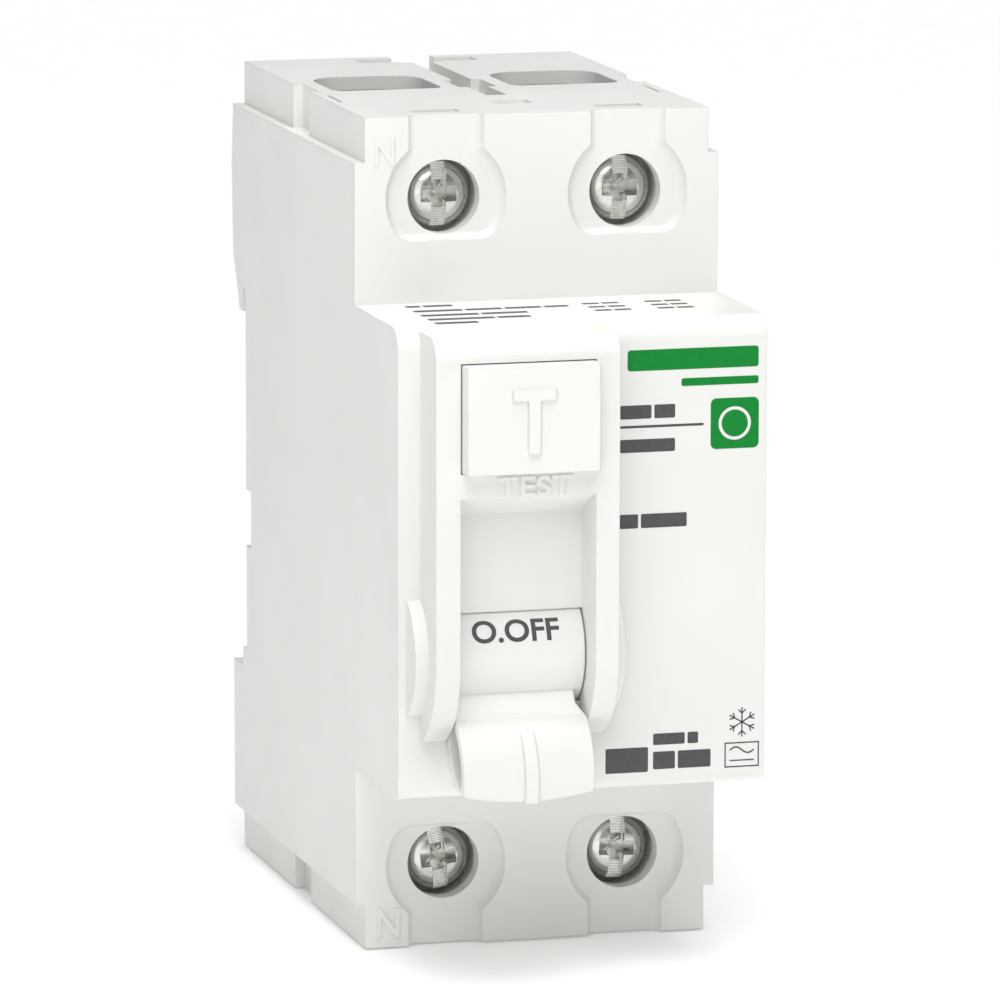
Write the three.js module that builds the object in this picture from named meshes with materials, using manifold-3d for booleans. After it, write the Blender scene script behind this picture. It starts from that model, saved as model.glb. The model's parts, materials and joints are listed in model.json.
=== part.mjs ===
// Residual current device, two pole, for a 35 mm DIN rail.
// Millimetres. The origin is the middle of the rail seat: +X is the device's right, the front faces -Y, +Z is up.
import * as THREE from "three";
import { mergeVertices } from "three/addons/utils/BufferGeometryUtils.js";
import Module from "manifold-3d";

const wasm = await Module();
wasm.setup();

// ---- Driving dimensions ----
const HALF_WIDTH = 18; // two 18 mm modules
const MID_HALF = 36; // half height of the full-width middle
const END_HALF = 40.3; // half height over the terminal blocks
const END_INSET = 1; // the terminal blocks stand in from the sides
const SHOULDER_Y = -44;
const NOSE_Y = -60.1;
const NOSE_HALF = 22.4;
const EDGE_R = 2;
const LOWER_EDGE_R = 1; // the lower front edge of the nose is sharper
const WALL = 1.3;
const GAP = 0.3;
const SEAT_RELIEF = 0.15; // the seat stands this proud of the grooves behind the hook and the clip
const RUNNING = 0.08; // radial clearance of a pin in its bore

const POLE_X = 9; // screw and wire entry centres, either side
const SCREW_Z = 32.4;
const WELL_R = 3.55;
const WELL_LIP_BACK_Y = -41.3; // behind its lip a well is wider
const DISH_DEPTH = 1;
const DISH_FILLET = 0.85; // how far in the hollow edge of a dish reaches
const HEAD_R = 3.3;
const HEAD_Y = -41;
const HEAD_BACK_Y = -38;
const LEDGE_FRONT_Y = -37.7; // the ledge under a screw head
const LEDGE_BACK_Y = -36.9;
const SHANK_R = 2.4;
const TONGUE_FRONT_Y = -24.3;
const TONGUE_BACK_Y = -22.6;
const CAGE_REST_FRONT_Y = -27.2;
const CHAMBER_BACK_Y = -1; // the back of the space that a cage moves in

const ENTRY_HALF = 5.5; // wire entry
const ENTRY_FRONT_Y = -22.6;
const ENTRY_BACK_Y = -11.2;

const GUARD_LEFT_X = -15.8;
const GUARD_RIGHT_X = 2;
const GUARD_Y = -65.6;
const RECESS_LEFT_X = -13.4;
const RECESS_RIGHT_X = -0.3;
const RECESS_BACK_Y = -61.1;

const HANDLE_Y = -57; // handle axis
const HANDLE_Z = -8.8;
const DRUM_R = 5.6;
const DRUM_GAP = 0.15; // round the drum and at its ends
const BOSS_R = 6.35;
const BOSS_LENGTH = 1.35;
const HANDLE_PIN_R = 1;

const CARRIER_Y = -30; // contact carrier axis
const CARRIER_Z = 6.5;
const CARRIER_OPEN_TURN = (-20 * Math.PI) / 180; // the contacts rest open
const CARRIER_PIN_R = 1.2;
const CRANK_Y = -56.55; // front end of the drive link, at rest
const CRANK_Z = -6.24;
const LINK_REAR_Y = -38;
const LINK_REAR_Z = 2;
const LINK_R = 0.6;
const LATCH_Y = -42; // latch axis
const LATCH_Z = 9.5;
const LATCH_PIN_R = 1;

const TOROID_Y = -14.5;
const TOROID_Z = -12.5;

// ---- Materials ----
const finish = (color, roughness, metalness = 0) => new THREE.MeshStandardMaterial({ color, roughness, metalness });
const WHITE = finish(0xf3f3ec, 0.42);
const BACK_GREY = finish(0xd9dad4, 0.5);
const LEVER_WHITE = finish(0xf6f6f0, 0.38);
const NICKEL = finish(0xb9b8b2, 0.3, 0.9);
const STEEL = finish(0x8e9094, 0.35, 0.9);
const SPRING_STEEL = finish(0x9a9ca0, 0.3, 0.9);
const COPPER = finish(0xc07a4c, 0.35, 0.9);
const BRASS = finish(0xc9a74e, 0.35, 0.9);
const DARK = finish(0x3c3d40, 0.55);
const BOARD = finish(0x2f6b45, 0.5);
const CORE_GREY = finish(0x55565a, 0.6);
const WIRE_BLUE = finish(0x2b5fa8, 0.5);
const WIRE_BROWN = finish(0x6b4028, 0.5);
const RESISTOR_TAN = finish(0xb79a6b, 0.6);

// ---- Shapes ----
const shapeOf = (outline) =>
  outline instanceof THREE.Shape ? outline : new THREE.Shape(outline.map(([u, v]) => new THREE.Vector2(u, v)));

// A drawn outline of (y, z) points, pulled along X.
const ALONG_X = new THREE.Matrix4().set(0, 0, 1, 0, 1, 0, 0, 0, 0, 1, 0, 0, 0, 0, 0, 1);

function pull(shape, length, curveSegments = 6) {
  return new THREE.ExtrudeGeometry(shape, { depth: length, bevelEnabled: false, curveSegments });
}

function prismX(outline, x0, x1, curveSegments) {
  return pull(shapeOf(outline), x1 - x0, curveSegments).applyMatrix4(ALONG_X).translate(x0, 0, 0);
}

function prismZ(outline, z0, z1, curveSegments) {
  return pull(shapeOf(outline), z1 - z0, curveSegments).translate(0, 0, z0);
}

// An outline of (x, z) points, pulled along Y.
function prismY(outline, y0, y1, curveSegments) {
  return pull(shapeOf(outline), y1 - y0, curveSegments).rotateX(Math.PI / 2).translate(0, y1, 0);
}

function box(x0, x1, y0, y1, z0, z1) {
  const middle = [(x0 + x1) / 2, (y0 + y1) / 2, (z0 + z1) / 2];
  return new THREE.BoxGeometry(x1 - x0, y1 - y0, z1 - z0).translate(...middle);
}

function rodX(radius, x0, x1, y, z, sides = 24) {
  const rod = new THREE.CylinderGeometry(radius, radius, x1 - x0, sides).rotateZ(Math.PI / 2);
  return rod.translate((x0 + x1) / 2, y, z);
}

function rodY(radius, y0, y1, x, z, sides = 24, backRadius = radius) {
  const rod = new THREE.CylinderGeometry(backRadius, radius, y1 - y0, sides);
  return rod.translate(x, (y0 + y1) / 2, z);
}

function rodZ(radius, z0, z1, x, y, sides = 24) {
  const rod = new THREE.CylinderGeometry(radius, radius, z1 - z0, sides).rotateX(Math.PI / 2);
  return rod.translate(x, y, (z0 + z1) / 2);
}

function ringZ(inner, outer, z0, z1, x, y, sides = 24) {
  const profile = [
    [inner, z0],
    [outer, z0],
    [outer, z1],
    [inner, z1],
    [inner, z0],
  ];
  const ring = new THREE.LatheGeometry(profile.map(([r, z]) => new THREE.Vector2(r, z)), sides);
  return ring.rotateX(Math.PI / 2).translate(x, y, 0);
}

// A round bar along a smooth curve through the points.
function bar(points, radius, steps, sides = 10) {
  const curve = new THREE.CatmullRomCurve3(points.map((p) => new THREE.Vector3(...p)), false, "catmullrom", 0.4);
  return sweep(curve, radius, steps, sides);
}

function sweep(curve, radius, steps, sides) {
  const section = new THREE.Shape(
    Array.from({ length: sides }, (_, i) => {
      const turn = (2 * Math.PI * i) / sides;
      return new THREE.Vector2(radius * Math.cos(turn), radius * Math.sin(turn));
    }),
  );
  return new THREE.ExtrudeGeometry(section, { steps, extrudePath: curve, bevelEnabled: false });
}

// A coil spring about the Z axis, from z = 0 up.
class Coil extends THREE.Curve {
  constructor(radius, height, turns) {
    super();
    this.radius = radius;
    this.height = height;
    this.turns = turns;
  }
  getPoint(t, target = new THREE.Vector3()) {
    const angle = 2 * Math.PI * this.turns * t;
    return target.set(this.radius * Math.cos(angle), this.radius * Math.sin(angle), this.height * t);
  }
}

const coilSpring = (radius, height, turns, wire) =>
  sweep(new Coil(radius, height, turns), wire / 2, turns * 9, 5).translate(0, 0, wire / 2);

// ---- Joining and cutting ----
function solid(geometry) {
  const plain = geometry.clone();
  plain.deleteAttribute("normal");
  plain.deleteAttribute("uv");
  const merged = mergeVertices(plain, 1e-4);
  return new wasm.Manifold(
    new wasm.Mesh({
      numProp: 3,
      vertProperties: merged.attributes.position.array,
      triVerts: new Uint32Array(merged.index.array),
    }),
  );
}

const asSolid = (piece) => (piece.isBufferGeometry ? solid(piece) : piece);
const join = (base, ...others) => others.reduce((sum, other) => sum.add(asSolid(other)), asSolid(base));
const cut = (base, ...others) => others.reduce((rest, other) => rest.subtract(asSolid(other)), asSolid(base));
const common = (one, other) => asSolid(one).intersect(asSolid(other));

function geometryOf(manifold) {
  const mesh = manifold.getMesh();
  const geometry = new THREE.BufferGeometry();
  geometry.setAttribute("position", new THREE.BufferAttribute(new Float32Array(mesh.vertProperties), 3));
  geometry.setIndex(new THREE.BufferAttribute(new Uint32Array(mesh.triVerts), 1));
  const flat = geometry.toNonIndexed();
  flat.computeVertexNormals();
  return flat;
}

const device = new THREE.Group();

function add(name, shape, material, parent = device) {
  const geometry = shape.isBufferGeometry ? shape : geometryOf(shape);
  const mesh = new THREE.Mesh(geometry, material);
  mesh.name = name;
  parent.add(mesh);
  return mesh;
}

const SIDES = [-1, 1];
const sideName = (x) => (x < 0 ? "left" : "right");
const endName = (z) => (z < 0 ? "lower" : "upper");

// ---- Casing ----

// Rear edge of the sides, from the top down: the back of the upper block, the hook, the seat and the lower block.
const REAR_EDGE = [
  [5.0, 36],
  [5.7, 30],
  [5.2, 21],
  [3.2, 17.1],
  [2.6, 15.4],
  [1.3, 15.4],
  [1.3, 17.7],
  [0, 17.7],
  [0, -2.6],
  [-2, -2.6],
  [-2, -8.3],
  [0, -8.3],
  [0, -19],
  [1.5, -19],
  [1.5, -20.9],
  [5.5, -20.9],
  [5.4, -36],
];

// Side outline of the full-width middle, with the hook and the seat for the rail in its rear edge.
function middleOutline() {
  const shape = new THREE.Shape();
  shape.moveTo(SHOULDER_Y, -MID_HALF);
  shape.lineTo(SHOULDER_Y, -NOSE_HALF);
  shape.lineTo(NOSE_Y + LOWER_EDGE_R, -NOSE_HALF);
  shape.absarc(NOSE_Y + LOWER_EDGE_R, -NOSE_HALF + LOWER_EDGE_R, LOWER_EDGE_R, -Math.PI / 2, Math.PI, true);
  shape.lineTo(NOSE_Y, NOSE_HALF - EDGE_R);
  shape.absarc(NOSE_Y + EDGE_R, NOSE_HALF - EDGE_R, EDGE_R, Math.PI, Math.PI / 2, true);
  shape.lineTo(SHOULDER_Y, NOSE_HALF);
  shape.lineTo(SHOULDER_Y, MID_HALF);
  for (const [y, z] of REAR_EDGE) shape.lineTo(y, z);
  return shape;
}

// Side outline of the guard, which ends in an arc about the handle's axis.
function guardOutline() {
  const top = NOSE_HALF - 0.3;
  const sweepR = HANDLE_Y - GUARD_Y;
  const sweepTurn = Math.acos((HANDLE_Y - NOSE_Y) / sweepR);
  const shape = new THREE.Shape();
  shape.moveTo(NOSE_Y + 1, top);
  shape.lineTo(GUARD_Y + EDGE_R, top);
  shape.absarc(GUARD_Y + EDGE_R, top - EDGE_R, EDGE_R, Math.PI / 2, Math.PI, false);
  shape.lineTo(GUARD_Y, HANDLE_Z);
  shape.absarc(HANDLE_Y, HANDLE_Z, sweepR, Math.PI, Math.PI + sweepTurn, false);
  shape.lineTo(NOSE_Y + 1, HANDLE_Z - sweepR * Math.sin(sweepTurn));
  return shape;
}

// Wire entry, as an (x, y) outline: round at the back, nearly square at the front.
function entryOutline(x) {
  const backR = 3.4;
  const frontR = 1.2;
  const shape = new THREE.Shape();
  const [left, right] = [x - ENTRY_HALF, x + ENTRY_HALF];
  shape.moveTo(left + frontR, ENTRY_FRONT_Y);
  shape.lineTo(right - frontR, ENTRY_FRONT_Y);
  shape.absarc(right - frontR, ENTRY_FRONT_Y + frontR, frontR, -Math.PI / 2, 0, false);
  shape.lineTo(right, ENTRY_BACK_Y - backR);
  shape.absarc(right - backR, ENTRY_BACK_Y - backR, backR, 0, Math.PI / 2, false);
  shape.lineTo(left + backR, ENTRY_BACK_Y);
  shape.absarc(left + backR, ENTRY_BACK_Y - backR, backR, Math.PI / 2, Math.PI, false);
  shape.lineTo(left, ENTRY_FRONT_Y + frontR);
  shape.absarc(left + frontR, ENTRY_FRONT_Y + frontR, frontR, Math.PI, 1.5 * Math.PI, false);
  return shape;
}

// A box on the outer end of the upper (end = 1) or lower (end = -1) terminal block, given by its heights from the middle.
function endBox(end, x0, x1, y0, y1, from, to) {
  const [z0, z1] = end > 0 ? [from, to] : [-to, -from];
  return box(Math.min(x0, x1), Math.max(x0, x1), y0, y1, z0, z1);
}

// The dish round an upper screw and the channel from it to the end face, less their hollow edge: (x, z) from the screw.
function dishOutline() {
  const radius = 5.95 - DISH_FILLET;
  const channelHalf = 3.7 - DISH_FILLET;
  const chordZ = -4.05 + DISH_FILLET;
  const cornerR = 2.2 - DISH_FILLET;
  const cornerZ = chordZ + cornerR;
  const cornerX = Math.sqrt((radius - cornerR) ** 2 - cornerZ ** 2);
  const channelTurn = Math.acos(channelHalf / radius);
  const cornerTurn = Math.atan2(cornerZ, cornerX);
  const channelEnd = END_HALF - SCREW_Z + 2;
  const shape = new THREE.Shape();
  shape.moveTo(channelHalf, channelEnd);
  shape.lineTo(channelHalf, radius * Math.sin(channelTurn));
  shape.absarc(0, 0, radius, channelTurn, cornerTurn, true);
  shape.absarc(cornerX, cornerZ, cornerR, cornerTurn, -Math.PI / 2, true);
  shape.absarc(-cornerX, cornerZ, cornerR, -Math.PI / 2, -Math.PI - cornerTurn, true);
  shape.absarc(0, 0, radius, -Math.PI - cornerTurn, -Math.PI - channelTurn, true);
  shape.lineTo(-channelHalf, channelEnd);
  return shape;
}

// The dish and its channel as a cutter: the bevel of the cutter leaves a hollow edge in the face.
function dishCutter(x, end) {
  const cutter = new THREE.ExtrudeGeometry(dishOutline(), {
    depth: 0.5,
    bevelThickness: DISH_DEPTH,
    bevelSize: DISH_FILLET,
    bevelSegments: 4,
    curveSegments: 6,
  });
  const turned = cutter.rotateX(Math.PI / 2).rotateY(end > 0 ? 0 : Math.PI);
  return turned.translate(x, SHOULDER_Y, end * SCREW_Z);
}

// What is cut out round one terminal: its dish, channel, well, wire entry, chamber, notches and pockets.
function terminalCuts(side, end) {
  const x = side * POLE_X;
  const z = end * SCREW_Z;
  const past = END_HALF + 1;
  const entry = prismZ(entryOutline(x), end > 0 ? 38 : -past, end > 0 ? past : -38);
  return [
    dishCutter(x, end),
    entry,
    rodY(WELL_R, SHOULDER_Y - 1, WELL_LIP_BACK_Y + 1, x, z, 40),
    rodY(WELL_R + 0.35, WELL_LIP_BACK_Y, LEDGE_FRONT_Y, x, z, 40),
    rodY(SHANK_R + GAP, LEDGE_FRONT_Y - 1, LEDGE_BACK_Y + 1, x, z),
    endBox(end, side * 3, side * 15, LEDGE_BACK_Y, CHAMBER_BACK_Y, 34, END_HALF - 1.4),
    endBox(end, side * 16, side * 18, -22.5, -16.1, MID_HALF, past),
    endBox(end, 0, side * 1.9, -22.5, -16.1, MID_HALF, past),
    endBox(end, side * 6.8, side * 11.4, -41, -39.1, 38, past),
    endBox(end, side * 15.85, side * 16.15, -31, -25.5, END_HALF - 0.5, past),
  ];
}

function frontCover() {
  const endWidth = HALF_WIDTH - END_INSET;
  const middle = prismX(middleOutline(), -HALF_WIDTH, HALF_WIDTH, 5);
  const upperBlock = box(-endWidth, endWidth, SHOULDER_Y, 4.2, 30, END_HALF);
  const lowerBlock = box(-endWidth, endWidth, SHOULDER_Y, 5.4, -END_HALF, -30);
  const guard = prismX(guardOutline(), GUARD_LEFT_X, GUARD_RIGHT_X, 8);
  const bossLeft = rodX(BOSS_R, GUARD_LEFT_X - BOSS_LENGTH, GUARD_LEFT_X + 1, HANDLE_Y, HANDLE_Z, 48);
  const bossRight = rodX(BOSS_R, GUARD_RIGHT_X - 1, GUARD_RIGHT_X + BOSS_LENGTH, HANDLE_Y, HANDLE_Z, 48);
  const outside = join(middle, upperBlock, lowerBlock, guard, bossLeft, bossRight);

  const inner = HALF_WIDTH - WALL;
  const hollow = cut(
    outside,
    box(-inner, inner, SHOULDER_Y + 1.5, 10, -MID_HALF + 1.1, MID_HALF - 1.1),
    box(-inner, inner, NOSE_Y + 1.5, SHOULDER_Y + 3, -NOSE_HALF + 1.5, NOSE_HALF - 1.5),
    box(GUARD_LEFT_X + 1.2, GUARD_RIGHT_X - 1.2, GUARD_Y + 1.4, NOSE_Y + 3, 8.6, 20.8),
  );

  // Tubes round the screws and lugs round the handle pin stand inside the shell.
  const tubes = SIDES.flatMap((side) =>
    SIDES.map((end) => rodY(WELL_R + 0.9, SHOULDER_Y + 0.6, LEDGE_BACK_Y, side * POLE_X, end * SCREW_Z, 32)),
  );
  const lug = (x0, x1) => join(rodX(4.4, x0, x1, HANDLE_Y, HANDLE_Z, 32), box(x0, x1, NOSE_Y + 1, HANDLE_Y, -13.2, -4.4));
  const filled = join(hollow, ...tubes, lug(GUARD_LEFT_X - 0.7, RECESS_LEFT_X), lug(RECESS_RIGHT_X, 2.9));

  const recess = prismX(
    [
      [-67, 7.84],
      [RECESS_BACK_Y, 4.85],
      [RECESS_BACK_Y, -3.87],
      [RECESS_BACK_Y + 0.2, -4.6],
      [NOSE_Y, -4.6],
      [NOSE_Y, -18],
      [-67, -18],
    ],
    RECESS_LEFT_X,
    RECESS_RIGHT_X,
  );
  const past = END_HALF + 1;
  const cover = cut(
    filled,
    recess,
    rodX(DRUM_R + DRUM_GAP, RECESS_LEFT_X, RECESS_RIGHT_X, HANDLE_Y, HANDLE_Z, 48),
    rodX(HANDLE_PIN_R + RUNNING, GUARD_LEFT_X - 0.4, 2.8, HANDLE_Y, HANDLE_Z),
    box(RECESS_LEFT_X, RECESS_RIGHT_X, -67, NOSE_Y + 3, 9.4, 19.8),
    ...SIDES.flatMap((side) => SIDES.flatMap((end) => terminalCuts(side, end))),
    ...SIDES.map((end) => endBox(end, -1, 1, -29.4, 10, MID_HALF, past)),
    ...SIDES.map((end) => endBox(end, -1.7, 1.7, -36.3, -33.4, END_HALF - 1.3, past)),
    ...SIDES.map((side) => endBox(1, side * 1, side * 2.2, -1.2, 10, MID_HALF, past)),
    ...SIDES.map((side) => endBox(1, side * 2, side * 6, -0.5, 2.5, 38, past)),
    box(-5.5, 5.5, 0.7, 10, -past, -34),
  );
  add("front_cover", cover, WHITE);
}

// The moulded back: it closes the shell and carries the rail.
function rearBase() {
  const halfX = HALF_WIDTH - WALL - GAP;
  const outline = [
    [4.4, 34.6],
    [5.1, 30],
    [4.7, 21],
    [3.0, 17.3],
    [2.4, 15.6],
    [1.3, 15.6],
    [1.3, 17.7],
    [-SEAT_RELIEF, 17.7],
    [-SEAT_RELIEF, 15.2],
    [0, 15.2],
    [0, -15.4],
    [-SEAT_RELIEF, -15.4],
    [-SEAT_RELIEF, -19],
    [1.5, -19],
    [1.5, -20.9],
    [5.0, -20.9],
    [4.9, -34.6],
    [3.1, -34.6],
    [3.1, -23],
    [-2, -20.6],
    [-2, 19.4],
    [2.8, 22],
    [2.6, 34.6],
  ];
  const floor = box(-7, 7, -1, 3.3, -34.6, -20.8);
  const clipChannel = box(-5.4, 5.4, 0.9, 10, -36, -18.7);
  const ribs = [-12, -6, 6, 12].map((x) => box(x - 0.5, x + 0.5, 2.4, 4.3, 21, 34.2));
  add("rear_base", cut(join(prismX(outline, -halfX, halfX), floor, ...ribs), clipChannel), BACK_GREY);
}

// The clip slides down to let the lower edge of the rail go.
function railClip() {
  const side = [
    [1.25, -39.6],
    [1.25, -16.6],
    [1.9, -15.9],
    [3.0, -15.9],
    [3.9, -19.2],
    [3.9, -39.6],
  ];
  const plate = prismX(side, -5, 5);
  const driverHole = box(-2.4, 2.4, 0, 6, -38.2, -36.4);
  const springSlots = SIDES.map((x) => box(x * 3 - 0.5, x * 3 + 0.5, 0, 6, -34, -24));
  add("rail_clip", cut(plate, driverHole, ...springSlots), DARK);
}

function poleDividers() {
  const upper = [
    [-5, -4.5],
    [-26.2, -4.5],
    [-26.2, 11.5],
    [-36, 13.5],
    [-41.8, 20.4],
    [-41.8, 34.4],
    [-5, 34.4],
  ];
  add("pole_divider_upper", prismX(upper, -0.6, 0.6), BACK_GREY);
  add("pole_divider_lower", box(-0.6, 0.6, -41.8, -2.6, -34.4, -19.5), BACK_GREY);
}

// ---- Handle ----

// Side outline of the lever below the drum, at rest (off): a curved paddle that is thickest half way down.
function leverOutline() {
  const shape = new THREE.Shape();
  shape.moveTo(HANDLE_Y - 1, HANDLE_Z);
  shape.lineTo(-61.4, -12.3);
  shape.lineTo(-62.95, -14.4);
  shape.lineTo(-63.25, -14.5);
  shape.quadraticCurveTo(-66.9, -17.4, -65.95, -21.9);
  shape.lineTo(-65.3, -21.9);
  shape.quadraticCurveTo(-61.4, -20.6, -60.5, -17.2);
  shape.lineTo(-60.5, -13.4);
  return shape;
}

// Front outline of the lever, as (x, z): a narrower neck, round lower corners and a bowed lower edge.
function leverFront(left, right) {
  const neckInset = 0.85;
  const cornerR = 0.5;
  const endZ = -21.25;
  const bowZ = -22.5;
  const shape = new THREE.Shape();
  shape.moveTo(right - neckInset, HANDLE_Z);
  shape.lineTo(left, HANDLE_Z);
  shape.lineTo(left, endZ + cornerR);
  shape.absarc(left + cornerR, endZ + cornerR, cornerR, Math.PI, 1.5 * Math.PI, false);
  shape.quadraticCurveTo((left + right) / 2, bowZ, right - cornerR, endZ);
  shape.absarc(right - cornerR, endZ + cornerR, cornerR, 1.5 * Math.PI, 2 * Math.PI, false);
  shape.lineTo(right, -14.6);
  shape.lineTo(right - neckInset, -13.4);
  return shape;
}

// Side outline of the rib down the middle of the lever, which stands a little proud of it.
function leverRib() {
  const shape = new THREE.Shape();
  shape.moveTo(-63.3, -14.6);
  shape.quadraticCurveTo(-67.4, -17.5, -66.25, -22.05);
  shape.lineTo(-65.1, -22.05);
  shape.lineTo(-62, -19);
  return shape;
}

// The hollow that opens at both ends of the lever.
function leverHollow() {
  const shape = new THREE.Shape();
  shape.moveTo(-62.6, -15.0);
  shape.quadraticCurveTo(-65.9, -17.8, -65.2, -20.6);
  shape.quadraticCurveTo(-62.2, -19.8, -61.2, -17.0);
  shape.lineTo(-61.1, -15.2);
  return shape;
}

function toggleHandle() {
  const left = RECESS_LEFT_X + DRUM_GAP;
  const right = RECESS_RIGHT_X - DRUM_GAP;
  const [ribLeft, ribRight] = [-7.3, -5.97];
  const drum = rodX(DRUM_R, left, right, HANDLE_Y, HANDLE_Z, 48);
  const lever = common(prismX(leverOutline(), left, right, 10), prismY(leverFront(left, right), -70, HANDLE_Y, 8));
  const rib = prismX(leverRib(), ribLeft, ribRight, 10);
  const hollows = [prismX(leverHollow(), left - 1, ribLeft, 10), prismX(leverHollow(), ribRight, right + 1, 10)];
  // The slot lets the link lie rearwards when off and stand up through the drum's top when on.
  const linkSlot = prismX(
    [
      [-59.8, -1],
      [-58.0, -6.6],
      [-57.3, -7.6],
      [-56.0, -7.8],
      [-50, -5.6],
      [-50, -1],
    ],
    -10.9,
    -8.3,
  );
  const crankHole = rodX(1.35, -8.4, -4.4, -56.72, -6.61, 20);
  const springPocket = rodX(3.3, -3.6, right + 1, HANDLE_Y, HANDLE_Z);
  const bore = rodX(HANDLE_PIN_R + RUNNING, left - 1, right + 1, HANDLE_Y, HANDLE_Z);
  const handle = cut(join(drum, lever, rib), ...hollows, linkSlot, crankHole, springPocket, bore);
  add("toggle_handle", handle, LEVER_WHITE);
  add("handle_pin", rodX(HANDLE_PIN_R, GUARD_LEFT_X - 0.2, 2.6, HANDLE_Y, HANDLE_Z), STEEL);
  const spring = coilSpring(2.4, 2.1, 4, 0.45).rotateY(Math.PI / 2).translate(-3.4, HANDLE_Y, HANDLE_Z);
  add("handle_spring", spring, SPRING_STEEL);
}

// ---- Test button ----
function testButton() {
  const [left, right] = [RECESS_LEFT_X + 0.12, RECESS_RIGHT_X - 0.12];
  const [low, high] = [9.52, 19.68];
  const frontY = -67.5;
  const middleX = (left + right) / 2;
  const middleZ = (low + high) / 2;
  const cap = box(left, right, frontY, -61.6, low, high);
  const flange = box(left - 1, right + 0.8, -63.9, -62.9, low - 0.5, high + 0.7);
  const stem = rodY(1.3, -61.7, -53, middleX, middleZ, 16);
  const hollow = box(left + 1, right - 1, -66.2, -60, low + 1, high - 1);
  const post = rodY(1.3, -66.4, -61, middleX, middleZ, 16);
  const letterTop = box(middleX - 2.1, middleX + 2.1, frontY - 0.3, frontY + 0.2, 16.4, 17.5);
  const letterStem = box(middleX - 0.6, middleX + 0.6, frontY - 0.3, frontY + 0.2, 11.4, 16.6);
  const button = join(cut(join(cap, flange), hollow), post, stem, letterTop, letterStem);
  add("test_button", button, LEVER_WHITE);

  const spring = coilSpring(2.3, 9.0, 5, 0.4).rotateX(-Math.PI / 2).translate(middleX, -65.9, middleZ);
  add("test_button_spring", spring, SPRING_STEEL);

  const block = box(-13.9, -0.2, -56.2, -54.8, 8.9, 20.5);
  add("test_contact_block", cut(block, rodY(1.7, -57, -54, middleX, middleZ, 16)), DARK);
  const strip = join(box(middleX - 2, middleX + 2, -51.2, -50.8, 8, 20.2), box(middleX - 2, middleX + 2, -51, -44, 19.8, 20.2));
  add("test_contact_strip", strip, BRASS);
}

// ---- Terminals ----
function terminalScrew(side, end) {
  const profile = [
    [0, HEAD_Y - 0.5],
    [1.6, HEAD_Y - 0.4],
    [2.7, HEAD_Y - 0.1],
    [HEAD_R, HEAD_Y + 0.4],
    [HEAD_R, HEAD_BACK_Y],
    [SHANK_R, HEAD_BACK_Y],
    [SHANK_R, -25.4],
    [SHANK_R - 0.7, -24.7],
    [0, -24.7],
  ];
  const points = profile.map(([r, y]) => new THREE.Vector2(r, y));
  const body = new THREE.LatheGeometry(points, 28);
  const slotHalf = 0.65;
  const slot = box(-slotHalf, slotHalf, HEAD_Y - 1, HEAD_Y + 0.55, -5, 5);
  const cross = [
    box(-1.75, 1.75, HEAD_Y - 1, HEAD_Y + 1.4, -slotHalf + 0.02, slotHalf - 0.02),
    box(-slotHalf + 0.02, slotHalf - 0.02, HEAD_Y - 1, HEAD_Y + 1.4, -1.75, 1.75),
  ];
  const mesh = add("terminal_screw_" + endName(end) + "_" + sideName(side), cut(body, slot, ...cross), NICKEL);
  mesh.position.set(side * POLE_X, 0, end * SCREW_Z);
}

function cageClamp(side, end) {
  const front = CAGE_REST_FRONT_Y;
  const outer = box(-5.2, 5.2, front, -9.4, -3.4, 3.4);
  const wireSpace = box(-3.9, 3.9, front + 2.3, -11, -5, 5);
  const thread = rodY(SHANK_R + 0.15, front - 1, front + 3, 0, 0);
  const teeth = [-2, 0, 2].map((z) => box(-3.8, 3.8, -11.4, -10.9, z - 0.3, z + 0.3));
  const mesh = add("cage_clamp_" + endName(end) + "_" + sideName(side), cut(join(cut(outer, wireSpace), ...teeth), thread), STEEL);
  mesh.position.set(side * POLE_X, 0, end * SCREW_Z);
}

// Upper busbar: from the terminal down to the contact that doesn't move.
function fixedContact(side) {
  const x = side * POLE_X;
  const strip = [
    [TONGUE_FRONT_Y, 36.2],
    [TONGUE_FRONT_Y, 8.8],
    [-13.2, 8.8],
    [-13.2, 10.4],
    [TONGUE_BACK_Y, 10.4],
    [TONGUE_BACK_Y, 36.2],
  ];
  const pad = rodZ(2, 7.9, 9.2, x, -16, 16);
  add("fixed_contact_" + sideName(side), join(prismX(strip, x - 3.4, x + 3.4), pad), COPPER);
}

function lowerBusbar(side) {
  const x = side * POLE_X;
  const strip = [
    [TONGUE_FRONT_Y, -36.2],
    [TONGUE_FRONT_Y, -22.6],
    [TONGUE_FRONT_Y + 0.8, -21.8],
    [TONGUE_BACK_Y, -21.8],
    [TONGUE_BACK_Y, -36.2],
  ];
  add("lower_busbar_" + sideName(side), prismX(strip, x - 3.4, x + 3.4), COPPER);
}

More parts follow.
